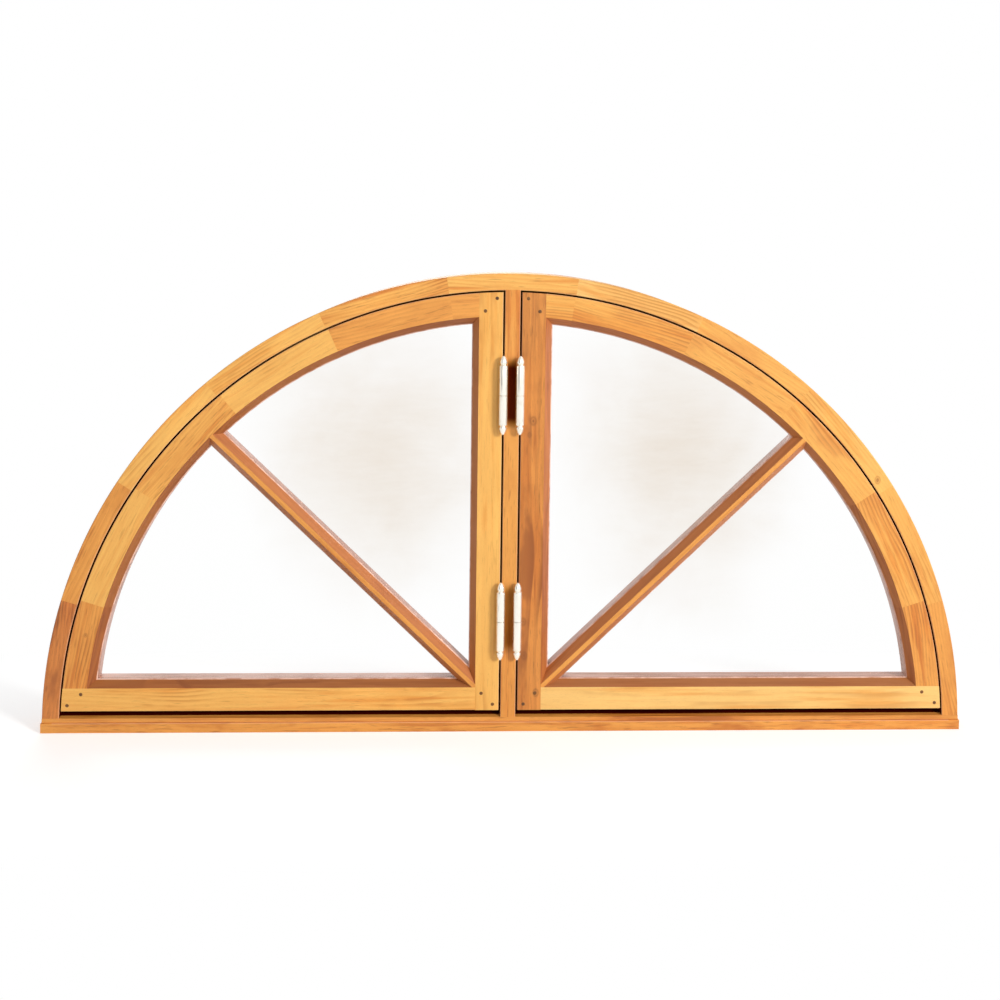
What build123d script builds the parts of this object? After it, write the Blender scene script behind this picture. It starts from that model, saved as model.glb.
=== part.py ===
from build123d import *
import os
from math import acos, asin, atan, cos, degrees, radians, sin, sqrt

# Half-round timber window: an arched frame with a mullion, and two quarter-round sashes hung on it.
# Millimetres. X runs across the window, the front faces -Y and Z is up.
# The origin is the middle of the window on the underside of the sill board.
# Every arc is struck from the Y axis through the origin.

# Outer frame
arch_radius = 762.0  # outside of the arch
frame_depth = 80.0  # front face to back face
frame_face = 27.5  # width of the arch seen from the front
mullion_face = 25.0  # width of the mullion seen from the front
stop_cover = 12.0  # how far the stop behind a sash laps over it
arch_gap = 3.0  # open joint between the arch and a sash
arris = 1.0  # eased outer edges

# Foot of the frame
sill_thickness = 16.5
sill_end_overhang = 1.5  # sill board past the foot of the arch
sill_nosing = 2.0  # sill board in front of the frame
rail_front_height = 7.5  # front edge of the frame's bottom rail
rail_slope_rise = 7.8  # fall of the weathered top towards the front
foot_gap = 4.0  # clearance under a sash at the top of the slope

# Sash timber
sash_depth = 42.0
stile_face = 39.0
rail_face = 38.5
arch_rail_face = 39.0
bevel_width = 10.0
bevel_depth = 12.0
lip_depth = 2.0  # square edge between the bevel and the glass
glass_cover = 8.0  # how far the rebate laps the glass
glass_thickness = 4.0
glass_clearance = 1.0  # free edge of the glass in its rebate
bar_flat = 7.0  # flat front of the glazing bar
bar_angle = 44.0  # glazing bar above the horizontal

# Joints in the timber
frame_block_span = 16.25  # degrees of arch in a full block of the frame
sash_block_span = 16.1
block_names = ("foot", "haunch", "shoulder", "neck", "crown")  # from the sill up to the key or head
tenon_thickness = 13.0
sash_tenon_length = 33.0
sash_tenon_width = 30.0
mullion_tenon_length = 20.0
mullion_tenon_width = 30.0
peg_diameter = 5.5  # over the corners
peg_sides = 8
peg_length = 32.0
peg_inset = 10.0  # peg centres from the corners of a joint

# Lift-off hinges
hinge_heights = (188.0, 563.0)  # the split between the halves, above the sill's underside
barrel_diameter = 14.0
barrel_length = 97.0
barrel_split = 0.6  # open joint between the halves
barrel_standoff = 0.5  # barrel in front of the timber
pin_diameter = 7.0
pin_length = 30.0
pin_clearance = 0.3
neck_diameter = 9.8
neck_rise = 2.0  # from the end of the barrel to the neck
neck_length = 1.5
acorn_diameter = 12.2
knee_diameter = 9.4
knee_rise = 7.7  # from the acorn's shoulder to its knee
tip_diameter = 4.0
tip_rise = 5.3  # from the knee to the tip
acorn_sides = 18
leaf_thickness = 1.5
leaf_depth = 30.0
leaf_recess = 0.6  # leaf edge behind the face of the timber

# Places that follow from the sizes above
front = -frame_depth / 2
back = frame_depth / 2
hinge_gap = 2 * leaf_thickness
stop_face = front + sash_depth
glass_front = front + bevel_depth + lip_depth
glass_back = glass_front + glass_thickness
tenon_back = glass_front + tenon_thickness
sash_radius = arch_radius - frame_face - arch_gap
sash_side = mullion_face / 2 + hinge_gap
rail_front_top = sill_thickness + rail_front_height
sash_foot = rail_front_top + rail_slope_rise + foot_gap
stop_top = sash_foot + stop_cover
stile_edge = sash_side + stile_face
rail_edge = sash_foot + rail_face
arch_rail_edge = sash_radius - arch_rail_face
arch_rail_middle = sash_radius - arch_rail_face / 2
bar_half = bar_flat / 2 + bevel_width
bar_web_half = bar_half - glass_cover
bar_cos = cos(radians(bar_angle))
bar_sin = sin(radians(bar_angle))
acorn_flat_share = cos(radians(180 / acorn_sides))  # flats over corners
arch_axis = Axis((0, 0, 0), (0, -1, 0))

os.makedirs("parts", exist_ok=True)


def save(piece, name):
    """Labels a finished piece and writes it."""
    piece.part.label = name
    export_step(piece.part, f"parts/{name}.step")


def face_plane(y):
    """Upright plane at a depth, seen from the front: local x is X, local y is Z."""
    return Plane(origin=(0, y, 0), x_dir=(1, 0, 0), z_dir=(0, -1, 0))


def inward_plane(radius, angle):
    """Cross-section of an arc at an angle: local x runs to the centre, local y to the back."""
    c = cos(radians(angle))
    s = sin(radians(angle))
    return Plane(origin=(radius * c, 0, radius * s), x_dir=(-c, 0, -s), z_dir=(s, 0, -c))


def bar_point(along, across):
    """Point of the face seen from the front, from the inner corner along and across the bar."""
    x = stile_edge + along * bar_cos - across * bar_sin
    z = rail_edge + along * bar_sin + across * bar_cos
    return (x, z)


def bar_reach(radius, across):
    """How far a line along the bar runs from the inner corner to an arc."""
    x, z = bar_point(0, across)
    toward = x * bar_cos + z * bar_sin
    return sqrt(toward**2 + radius**2 - x**2 - z**2) - toward


def block(x0, x1, y0, y1, z0, z1):
    """Rectangular block between two corners."""
    with BuildPart() as solid:
        with Locations(((x0 + x1) / 2, (y0 + y1) / 2, (z0 + z1) / 2)):
            Box(abs(x1 - x0), abs(y1 - y0), abs(z1 - z0))
    return solid


def disc(radius):
    """Round slab as deep as the frame, which trims pieces to an arc."""
    with BuildPart() as slab:
        with BuildSketch(face_plane(0)):
            Circle(radius)
        extrude(amount=frame_depth, both=True)
    return slab


def fitted(piece, *neighbours):
    """The piece cut to seat against or house its neighbours."""
    with BuildPart() as cut:
        add(piece.part)
        for neighbour in neighbours:
            add(neighbour.part, mode=Mode.SUBTRACT)
    return cut


def joined(piece, *tongues):
    """The piece with the tenons worked on it."""
    with BuildPart() as whole:
        add(piece.part)
        for tongue in tongues:
            add(tongue.part)
    return whole


def mirrored(piece):
    """The same piece on the other side of the window."""
    with BuildPart() as other:
        mirror(piece.part, about=Plane.YZ)
    return other


def block_joints(span):
    """Butt joints of an arch's right half, in degrees from the sill, with a full block at the top."""
    return [90 - (count - 0.5) * span for count in range(len(block_names), 0, -1)]


def arch_block(section, start, stop):
    """One block of an arch, turned about the centre from one joint to the next."""
    with BuildPart() as piece:
        revolve(section, axis=arch_axis, revolution_arc=stop - start)
    return piece


# Outer frame: sill board, bottom rail, mullion and eleven arch blocks
def frame_section(plane):
    """Section of the arch: a square face in front, and the stop behind the sash."""
    stop_edge = frame_face + arch_gap + stop_cover
    with BuildSketch(plane) as section:
        with BuildLine():
            Polyline(
                (arris, front),
                (frame_face - arris, front),
                (frame_face, front + arris),
                (frame_face, stop_face),
                (stop_edge, stop_face),
                (stop_edge, back),
                (0, back),
                (0, front + arris),
                close=True,
            )
        make_face()
    return section.sketch


def make_sill_board():
    """Flat board under the frame, a little wider and prouder than what stands on it."""
    with BuildPart() as board:
        with BuildSketch(Plane.YZ):
            with BuildLine():
                Polyline(
                    (front - sill_nosing + arris, 0),
                    (front - sill_nosing, arris),
                    (front - sill_nosing, sill_thickness - arris),
                    (front - sill_nosing + arris, sill_thickness),
                    (back, sill_thickness),
                    (back, 0),
                    close=True,
                )
            make_face()
        extrude(amount=arch_radius + sill_end_overhang, both=True)
    return board


def make_frame_bottom_rail():
    """Weathered rail: low front edge, sloping top, and an upstand that stops the sashes."""
    with BuildPart() as rail:
        with BuildSketch(Plane.YZ):
            with BuildLine():
                Polyline(
                    (front + arris, sill_thickness),
                    (front, sill_thickness + arris),
                    (front, rail_front_top),
                    (stop_face, rail_front_top + rail_slope_rise),
                    (stop_face, stop_top),
                    (back, stop_top),
                    (back, sill_thickness),
                    close=True,
                )
            make_face()
        extrude(amount=arch_radius, both=True)
        add(disc(arch_radius).part, mode=Mode.INTERSECT)
    return rail


def make_mullion(bottom_rail, key_block):
    """T-shaped post between the sashes, tenoned into the bottom rail and the key block."""
    half = mullion_face / 2
    stop_half = half + hinge_gap + stop_cover
    stop_radius = sash_radius - stop_cover
    with BuildPart() as post:
        with BuildSketch(Plane.XY.offset(sill_thickness + arris)):
            with BuildLine():
                Polyline(
                    (-half + arris, front),
                    (half - arris, front),
                    (half, front + arris),
                    (half, stop_face),
                    (stop_half, stop_face),
                    (stop_half, back),
                    (-stop_half, back),
                    (-stop_half, stop_face),
                    (-half, stop_face),
                    (-half, front + arris),
                    close=True,
                )
            make_face()
        extrude(amount=arch_radius - frame_face / 2 - sill_thickness)
        add(bottom_rail.part, mode=Mode.SUBTRACT)
        add(key_block.part, mode=Mode.SUBTRACT)
        tenon_y = (stop_face + back) / 2
        with Locations((0, tenon_y, stop_radius), (0, tenon_y, stop_top)):
            Box(mullion_tenon_width, tenon_thickness, 2 * mullion_tenon_length)
    return post


def make_frame_arch():
    """Arch blocks by name, butted at their joints, with the key over the mullion."""
    foot = degrees(asin((sill_thickness + rail_front_height / 2) / arch_radius))
    joints = (foot, *block_joints(frame_block_span))
    blocks = {}
    for name, start, stop in zip(block_names, joints, joints[1:]):
        section = frame_section(inward_plane(arch_radius, start))
        piece = arch_block(section, start, stop)
        blocks[f"frame_arch_right_{name}"] = piece
        blocks[f"frame_arch_left_{name}"] = mirrored(piece)
    section = frame_section(inward_plane(arch_radius, joints[-1]))
    blocks["frame_arch_key"] = arch_block(section, joints[-1], 180 - joints[-1])
    return blocks


def make_frame():
    """Outer frame, with the mullion's tenons housed in the rail and the key block."""
    pieces = make_frame_arch()
    rail = make_frame_bottom_rail()
    mullion = make_mullion(rail, pieces["frame_arch_key"])
    for side in ("left", "right"):
        name = f"frame_arch_{side}_foot"
        pieces[name] = fitted(pieces[name], rail)
    pieces["frame_arch_key"] = fitted(pieces["frame_arch_key"], mullion)
    pieces["frame_bottom_rail"] = fitted(rail, mullion)
    pieces["mullion"] = mullion
    pieces["sill_board"] = make_sill_board()
    return pieces


# Right sash: stile, bottom rail, six arch blocks, glazing bar, two panes, beads and pegs
def sash_section(plane, face):
    """Section of the sash timber: flat face, bevel, lip, and the rebate that takes the glass."""
    sight = face + bevel_width
    with BuildSketch(plane) as section:
        with BuildLine():
            Polyline(
                (arris, front),
                (face, front),
                (sight, front + bevel_depth),
                (sight, glass_front),
                (sight - glass_cover, glass_front),
                (sight - glass_cover, stop_face),
                (0, stop_face),
                (0, front + arris),
                close=True,
            )
        make_face()
    return section.sketch


def make_stile_blank():
    """Full-height stile beside the mullion, cut to the arch at its head."""
    plane = Plane(origin=(sash_side, 0, sash_foot), x_dir=(1, 0, 0), z_dir=(0, 0, 1))
    section = sash_section(plane, stile_face)
    with BuildPart() as stile:
        extrude(section, amount=sash_radius)
        add(disc(sash_radius).part, mode=Mode.INTERSECT)
    return stile


def make_rail_blank():
    """Bottom rail from within the stile out to the arch, before it is coped."""
    plane = Plane(origin=(sash_radius, 0, sash_foot), x_dir=(0, 0, 1), z_dir=(-1, 0, 0))
    section = sash_section(plane, rail_face)
    with BuildPart() as rail:
        extrude(section, amount=sash_radius - sash_side - stile_face / 2)
        add(disc(sash_radius).part, mode=Mode.INTERSECT)
    return rail


def make_sash_arch_blanks():
    """The blocks of the sash's arch, from within the rail to the head block within the stile."""
    foot = degrees(asin((sash_foot + rail_face / 2) / sash_radius))
    head = degrees(acos((sash_side + stile_face / 2) / sash_radius))
    joints = (foot, *block_joints(sash_block_span), head)
    blanks = []
    for start, stop in zip(joints, joints[1:]):
        section = sash_section(inward_plane(sash_radius, start), arch_rail_face)
        blanks.append(arch_block(section, start, stop))
    return blanks


def make_bar(stile, rail, arch):
    """Glazing bar bevelled on both sides, rebated behind, and coped into what it meets."""
    x, z = bar_point(-bar_half, 0)
    plane = Plane(origin=(x, 0, z), x_dir=(-bar_sin, 0, bar_cos), z_dir=(bar_cos, 0, bar_sin))
    with BuildPart() as bar:
        with BuildSketch(plane):
            with BuildLine():
                Polyline(
                    (-bar_flat / 2, -front),
                    (bar_flat / 2, -front),
                    (bar_half, -front - bevel_depth),
                    (bar_half, -glass_front),
                    (bar_web_half, -glass_front),
                    (bar_web_half, -stop_face),
                    (-bar_web_half, -stop_face),
                    (-bar_web_half, -glass_front),
                    (-bar_half, -glass_front),
                    (-bar_half, -front - bevel_depth),
                    close=True,
                )
            make_face()
        extrude(amount=bar_reach(arch_rail_middle, 0) + bar_half)
        for neighbour in (stile, rail, *arch):
            add(neighbour.part, mode=Mode.SUBTRACT)
    return bar


def make_sash_tenons():
    """Tenons of the rail and the head block in the stile, and of the foot block in the rail."""
    half = sash_tenon_width / 2
    into_stile = stile_edge - sash_tenon_length
    past_stile = stile_edge + bevel_width
    rail_z = sash_foot + rail_face / 2
    head_z = sqrt(arch_rail_middle**2 - stile_edge**2)
    foot_x = sqrt(arch_rail_middle**2 - rail_edge**2)
    into_rail = rail_edge - sash_tenon_length
    rail_tenon = block(into_stile, past_stile, glass_front, tenon_back, rail_z - half, rail_z + half)
    head_tenon = block(into_stile, past_stile, glass_front, tenon_back, head_z - half, head_z + half)
    foot_tenon = block(
        foot_x - half, foot_x + half, glass_front, tenon_back, into_rail, rail_edge + bevel_width
    )
    return rail_tenon, head_tenon, foot_tenon


def make_pegs():
    """Two eight-sided pegs across each tenoned corner, from the face into the timber."""
    rail_end = sqrt(sash_radius**2 - sash_foot**2)
    rail_inner = sqrt(arch_rail_edge**2 - rail_edge**2)
    stile_head = sqrt(sash_radius**2 - sash_side**2)
    stile_inner = sqrt(arch_rail_edge**2 - stile_edge**2)
    centres = (
        (sash_side + peg_inset, sash_foot + peg_inset),
        (stile_edge - peg_inset, rail_edge - peg_inset),
        (sash_side + peg_inset, stile_head - peg_inset),
        (stile_edge - peg_inset, stile_inner + peg_inset),
        (rail_end - peg_inset, sash_foot + peg_inset),
        (rail_inner + peg_inset, rail_edge - peg_inset),
    )
    with BuildPart() as pegs:
        with BuildSketch(face_plane(front)):
            with Locations(*centres):
                RegularPolygon(peg_diameter / 2, peg_sides)
        extrude(amount=-peg_length)
    return pegs


# Corners of a pane's outline: cover is how far the outline lies outside the sight line
def straight_corner(cover, upper):
    """Where the bar's side meets the stile (upper pane) or the bottom rail (lower pane)."""
    off = bar_half - cover
    if upper:
        x = stile_edge + bevel_width - cover
        return (x, rail_edge + (off + (x - stile_edge) * bar_sin) / bar_cos)
    z = rail_edge + bevel_width - cover
    return (stile_edge + (off + (z - rail_edge) * bar_cos) / bar_sin, z)


def arch_corner(cover, upper):
    """Where the arch meets the stile (upper pane) or the bottom rail (lower pane)."""
    radius = arch_rail_edge - bevel_width + cover
    if upper:
        x = stile_edge + bevel_width - cover
        return (x, sqrt(radius**2 - x**2))
    z = rail_edge + bevel_width - cover
    return (sqrt(radius**2 - z**2), z)


def bar_corner(cover, upper):
    """Where the bar's side meets the arch."""
    across = (bar_half - cover) * (1 if upper else -1)
    radius = arch_rail_edge - bevel_width + cover
    return bar_point(bar_reach(radius, across), across)


def point_between(radius, a, b):
    """Point of an arc halfway between two points of it."""
    x = a[0] + b[0]
    z = a[1] + b[1]
    scale = radius / sqrt(x**2 + z**2)
    return (x * scale, z * scale)


def make_pane(upper):
    """One sheet of glass, held in by the rebate's cover less its free edge."""
    cover = glass_cover - glass_clearance
    radius = arch_rail_edge - bevel_width + cover
    inner = straight_corner(cover, upper)
    outer = arch_corner(cover, upper)
    tip = bar_corner(cover, upper)
    with BuildPart() as pane:
        with BuildSketch(face_plane(glass_front)):
            with BuildLine():
                Polyline(tip, inner, outer)
                ThreePointArc(outer, point_between(radius, outer, tip), tip)
            make_face()
        extrude(amount=-glass_thickness)
    return pane


def make_straight_beads(ends):
    """Mitred straight beads behind the glass, each between two corner functions."""
    with BuildPart() as beads:
        with BuildSketch(face_plane(glass_back)):
            for first, last, upper in ends:
                with BuildLine():
                    Polyline(
                        first(glass_cover, upper),
                        last(glass_cover, upper),
                        last(0, upper),
                        first(0, upper),
                        close=True,
                    )
                make_face()
        extrude(amount=glass_back - stop_face)
    return beads


def make_arch_beads():
    """Curved beads behind the glass, one for each pane."""
    with BuildPart() as beads:
        with BuildSketch(face_plane(glass_back)):
            for upper in (True, False):
                with BuildLine():
                    ends = []
                    for cover in (glass_cover, 0):
                        radius = arch_rail_edge - bevel_width + cover
                        a = arch_corner(cover, upper)
                        b = bar_corner(cover, upper)
                        ThreePointArc(a, point_between(radius, a, b), b)
                        ends.append((a, b))
                    Line(ends[0][0], ends[1][0])
                    Line(ends[0][1], ends[1][1])
                make_face()
        extrude(amount=glass_back - stop_face)
    return beads


def make_right_sash():
    """Every piece of the right sash, by the name it has after the side."""
    stile = make_stile_blank()
    rail = make_rail_blank()
    arch = make_sash_arch_blanks()
    foot, *middle, head = arch
    bar = make_bar(stile, rail, arch)
    rail_tenon, head_tenon, foot_tenon = make_sash_tenons()
    pegs = make_pegs()
    coped_foot = joined(fitted(foot, rail), foot_tenon)
    coped_head = joined(fitted(head, stile), head_tenon)
    coped_rail = joined(fitted(rail, stile), rail_tenon)
    middle_blocks = {f"arch_{name}": piece for name, piece in zip(block_names[1:], middle)}
    return {
        "stile": fitted(stile, coped_rail, coped_head, pegs),
        "bottom_rail": fitted(coped_rail, coped_foot, pegs),
        "arch_foot": fitted(coped_foot, pegs),
        **middle_blocks,
        "arch_head": fitted(coped_head, pegs),
        "glazing_bar": bar,
        "upper_pane": make_pane(True),
        "lower_pane": make_pane(False),
        "straight_beads": make_straight_beads(
            ((straight_corner, arch_corner, True), (straight_corner, arch_corner, False))
        ),
        "bar_beads": make_straight_beads(
            ((straight_corner, bar_corner, True), (straight_corner, bar_corner, False))
        ),
        "arch_beads": make_arch_beads(),
        "pegs": pegs,
    }


# Lift-off hinges: the upper half on the sash, the lower half with the pin on the mullion
def make_acorn():
    """Turned end of a barrel, in flats: it narrows to a neck, steps out, and tapers to a blunt tip."""
    steps = (
        (barrel_diameter, neck_diameter, neck_rise),
        (neck_diameter, neck_diameter, neck_length),
        (acorn_diameter, knee_diameter, knee_rise),
        (knee_diameter, tip_diameter, tip_rise),
    )
    level = 0
    with BuildPart() as acorn:
        for start, stop, rise in steps:
            with BuildSketch(Plane.XY.offset(level)):
                RegularPolygon(start / 2, acorn_sides)
            lean = atan((start - stop) / 2 * acorn_flat_share / rise)
            extrude(amount=rise, taper=degrees(lean))
            level += rise
    return acorn


def make_hinge_half(height, upper):
    """One half of a right-hand hinge: barrel with a bore or a pin, acorn end, and leaf in the gap."""
    way = 1 if upper else -1
    axis_x = (mullion_face + hinge_gap) / 2
    barrel = barrel_diameter / 2
    axis_y = front - barrel_standoff - barrel
    split = barrel_split / 2
    end = barrel_length / 2
    core = pin_diameter / 2 + (pin_clearance if upper else 0)
    core_end = pin_length + pin_clearance if upper else -pin_length
    leaf_side = axis_x + way * leaf_thickness
    leaf_front = front + leaf_recess
    near = height + way * split
    far = height + way * end
    leaf = block(axis_x, leaf_side, leaf_front, front + leaf_depth, height - way * end, far)
    arm = block(axis_x, leaf_side, axis_y + barrel / 2, leaf_front, near, far)
    acorn = make_acorn()
    outline = Plane(origin=(axis_x, axis_y, height), x_dir=(1, 0, 0), z_dir=(0, -way, 0))
    with BuildPart() as half:
        with BuildSketch(outline):
            with BuildLine():
                Polyline(
                    (0, core_end),
                    (core, core_end),
                    (core, split),
                    (barrel, split),
                    (barrel, end),
                    (0, end),
                    close=True,
                )
            make_face()
        revolve(axis=Axis((axis_x, axis_y, 0), (0, 0, 1)))
        with Locations((axis_x, axis_y, far)):
            add(acorn.part, rotation=(0 if upper else 180, 0, 0))
        add(leaf.part)
        add(arm.part)
    return half


def make_right_hinges():
    """Both hinges of the right sash, by the name each half has after the side."""
    halves = {}
    for level, height in zip(("lower", "upper"), hinge_heights):
        halves[f"{level}_hinge_sash_half"] = make_hinge_half(height, True)
        halves[f"{level}_hinge_frame_half"] = make_hinge_half(height, False)
    return halves


for name, piece in make_frame().items():
    save(piece, name)

for name, piece in make_right_sash().items():
    save(piece, f"right_sash_{name}")
    save(mirrored(piece), f"left_sash_{name}")

for name, piece in make_right_hinges().items():
    save(piece, f"right_{name}")
    save(mirrored(piece), f"left_{name}")
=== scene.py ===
"""Half-round timber window: grained boards, glass, glazing seal, pegs, pins and bright hinges.

Metres. X runs across the window, the front faces -Y and Z is up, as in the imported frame.
"""
import logging
import math
from dataclasses import dataclass, field
from enum import Enum
from typing import Sequence

import bpy
import numpy as np
from mathutils import Matrix, Vector


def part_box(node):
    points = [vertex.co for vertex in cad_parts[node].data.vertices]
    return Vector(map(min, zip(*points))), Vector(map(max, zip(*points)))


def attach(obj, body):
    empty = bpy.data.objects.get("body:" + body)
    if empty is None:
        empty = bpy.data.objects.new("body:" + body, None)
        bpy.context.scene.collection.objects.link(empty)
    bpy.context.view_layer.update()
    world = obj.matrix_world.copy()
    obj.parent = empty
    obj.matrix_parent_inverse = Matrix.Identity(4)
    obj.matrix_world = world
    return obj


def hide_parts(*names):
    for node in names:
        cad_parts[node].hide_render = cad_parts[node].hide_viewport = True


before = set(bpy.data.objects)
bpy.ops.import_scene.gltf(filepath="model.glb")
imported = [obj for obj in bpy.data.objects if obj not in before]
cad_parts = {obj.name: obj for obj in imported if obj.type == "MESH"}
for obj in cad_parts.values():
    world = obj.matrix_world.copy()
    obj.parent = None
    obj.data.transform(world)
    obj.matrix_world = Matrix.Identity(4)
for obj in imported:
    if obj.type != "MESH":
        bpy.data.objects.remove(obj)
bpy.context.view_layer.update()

log = logging.getLogger("window")

MM = 0.001
SHARP_DEGREES = 38.0
Colour = tuple[float, float, float, float]


def srgb(red: int, green: int, blue: int) -> Colour:
    """Turns a screen colour of 0 to 255 into the linear colour that a shader takes.

    Args:
        red: Red on the screen.
        green: Green on the screen.
        blue: Blue on the screen.

    Returns:
        Linear red, green and blue, with full alpha.
    """
    shares = np.array([red, green, blue]) / 255.0
    linear = np.where(shares <= 0.04045, shares / 12.92, ((shares + 0.055) / 1.055) ** 2.4)
    return (float(linear[0]), float(linear[1]), float(linear[2]), 1.0)


class Side(Enum):
    """The two halves of the window, as the sign of X."""

    LEFT = -1
    RIGHT = 1

    @property
    def word(self) -> str:
        """The side's name as the node names have it."""
        return self.name.lower()


class Tone(Enum):
    """Tones of the teak boards: the pale wood, and the darker wood of its lines and streaks."""

    STRAW = (srgb(254, 204, 120), srgb(238, 164, 78))
    GOLD = (srgb(251, 190, 96), srgb(232, 148, 60))
    HONEY = (srgb(247, 180, 86), srgb(222, 136, 54))
    AMBER = (srgb(240, 164, 74), srgb(202, 116, 42))
    CHESTNUT = (srgb(226, 146, 64), srgb(174, 98, 36))
    RUSSET = (srgb(220, 134, 60), srgb(156, 82, 32))
    MOULDING = (srgb(192, 112, 58), srgb(148, 76, 34))
    # Darker copy of the moulding tone, for the bottom rails and the left sash's arch.
    STAINED = (srgb(158, 84, 38), srgb(116, 56, 22))
    # Pale tone of the beads, partly their own colour and partly painted light from the bright backdrop
    # behind the glass.
    BARE = (srgb(208, 160, 140), srgb(164, 114, 94))
    UMBER = (srgb(124, 78, 18), srgb(62, 34, 6))

    @property
    def pale(self) -> Colour:
        """Colour of the early wood."""
        return self.value[0]

    @property
    def deep(self) -> Colour:
        """Colour of the late wood."""
        return self.value[1]


class Graph:
    """Node tree of a material or the world, with short calls for the nodes that they use."""

    def __init__(self, name: str, world: bool = False) -> None:
        """Starts an empty tree with an output.

        Args:
            name: Name of the material or world.
            world: Whether it is the world's.
        """
        self.owner = bpy.data.worlds.new(name) if world else bpy.data.materials.new(name)
        self.owner.use_nodes = True
        self.tree = self.owner.node_tree
        self.tree.nodes.clear()
        self.output = self.node("ShaderNodeOutputWorld" if world else "ShaderNodeOutputMaterial")

    def node(self, kind: str, **settings: object) -> bpy.types.Node:
        """Adds a node and sets its own properties.

        Args:
            kind: The node's type.
            settings: Its properties by name.

        Returns:
            The node.
        """
        made = self.tree.nodes.new(kind)
        for key, value in settings.items():
            setattr(made, key, value)
        return made

    def put(self, socket: bpy.types.NodeSocket, value: object) -> None:
        """Links a socket to another, or sets its constant.

        Args:
            socket: The input.
            value: A socket or a constant.
        """
        if isinstance(value, bpy.types.NodeSocket):
            self.tree.links.new(value, socket)
        else:
            socket.default_value = value

    def math(self, operation: str, *values: object) -> bpy.types.NodeSocket:
        """One step of arithmetic.

        Args:
            operation: What is done.
            values: The values, in order.

        Returns:
            The result.
        """
        made = self.node("ShaderNodeMath", operation=operation)
        for socket, value in zip(made.inputs, values):
            self.put(socket, value)
        return made.outputs[0]

    def whole(self) -> bpy.types.NodeSocket:
        """The Object coordinate, which is the place on the window."""
        return self.node("ShaderNodeTexCoord").outputs["Object"]

    def parts(self, vector: object) -> Sequence[bpy.types.NodeSocket]:
        """Splits a vector.

        Args:
            vector: The vector.

        Returns:
            Its X, Y and Z.
        """
        made = self.node("ShaderNodeSeparateXYZ")
        self.put(made.inputs[0], vector)
        return made.outputs

    def length(self, vector: object) -> bpy.types.NodeSocket:
        """Measures a vector.

        Args:
            vector: The vector.

        Returns:
            Its length.
        """
        made = self.node("ShaderNodeVectorMath", operation="LENGTH")
        self.put(made.inputs[0], vector)
        return made.outputs["Value"]

    def times(self, first: object, *others: object) -> bpy.types.NodeSocket:
        """Multiplies values.

        Args:
            first: First value.
            others: The others.

        Returns:
            Their product.
        """
        for other in others:
            first = self.math("MULTIPLY", first, other)
        return first

    def most(self, first: object, *others: object) -> bpy.types.NodeSocket:
        """Compares values.

        Args:
            first: First value.
            others: The others.

        Returns:
            The greatest.
        """
        for other in others:
            first = self.math("MAXIMUM", first, other)
        return first

    def remap(
        self, value: object, low: float, high: float, start: float = 0.0, stop: float = 1.0
    ) -> bpy.types.NodeSocket:
        """Eases a value from start to stop while it goes from low to high.

        Args:
            value: The value.
            low: Where the change starts.
            high: Where it ends.
            start: Result at low and before.
            stop: Result at high and beyond.

        Returns:
            The eased value.
        """
        made = self.node("ShaderNodeMapRange", interpolation_type="SMOOTHSTEP")
        for socket, given in zip(made.inputs, (value, low, high, start, stop)):
            self.put(socket, given)
        return made.outputs[0]

    def blend(
        self, share: object, first: object, second: object, mode: str = "MIX"
    ) -> bpy.types.NodeSocket:
        """Mixes two colours.

        Args:
            share: Share of the second.
            first: First colour.
            second: Second colour.
            mode: How the second is laid on.

        Returns:
            The mixed colour.
        """
        made = self.node("ShaderNodeMix", data_type="RGBA", blend_type=mode)
        self.put(made.inputs[0], share)
        self.put(made.inputs[6], first)
        self.put(made.inputs[7], second)
        return made.outputs[2]

    def place(
        self, vector: object, turn: float = 0.0, shift: Sequence[float] = (0, 0, 0),
        scale: Sequence[float] = (1, 1, 1),
    ) -> bpy.types.NodeSocket:
        """Moves a coordinate.

        Args:
            vector: The coordinate.
            turn: Degrees it is then turned about Y.
            shift: Shift, last of all.
            scale: Scale, first of all.

        Returns:
            The moved coordinate.
        """
        made = self.node("ShaderNodeMapping")
        self.put(made.inputs["Vector"], vector)
        self.put(made.inputs["Location"], tuple(shift))
        self.put(made.inputs["Rotation"], (0.0, math.radians(turn), 0.0))
        self.put(made.inputs["Scale"], tuple(scale))
        return made.outputs[0]

    def noise(
        self, vector: object, scale: float = 1.0, detail: float = 2.0, roughness: float = 0.5,
        distortion: float = 0.0,
    ) -> bpy.types.NodeSocket:
        """Cloudy noise between about 0.25 and 0.75.

        Args:
            vector: Where it is read.
            scale: Clouds to a unit.
            detail: Finer layers on top.
            roughness: What each finer layer keeps.
            distortion: How far the clouds are drawn out.

        Returns:
            The noise.
        """
        made = self.node("ShaderNodeTexNoise")
        self.put(made.inputs["Vector"], vector)
        self.put(made.inputs["Scale"], scale)
        self.put(made.inputs["Detail"], detail)
        self.put(made.inputs["Roughness"], roughness)
        self.put(made.inputs["Distortion"], distortion)
        return made.outputs[0]

    def bump(self, height: object, strength: float, distance: float) -> bpy.types.NodeSocket:
        """Turns a height into a normal.

        Args:
            height: The height, 0 to 1.
            strength: How much of it shows.
            distance: Metres that a height of one stands for.

        Returns:
            The normal.
        """
        made = self.node("ShaderNodeBump")
        self.put(made.inputs["Height"], height)
        self.put(made.inputs["Strength"], strength)
        self.put(made.inputs["Distance"], distance)
        return made.outputs[0]

    def mix(self, share: object, first: object, second: object) -> bpy.types.NodeSocket:
        """Mixes two shaders.

        Args:
            share: Share of the second.
            first: First shader.
            second: Second shader.

        Returns:
            The mixed shader.
        """
        made = self.node("ShaderNodeMixShader")
        for socket, given in zip(made.inputs, (share, first, second)):
            self.put(socket, given)
        return made.outputs[0]

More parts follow.
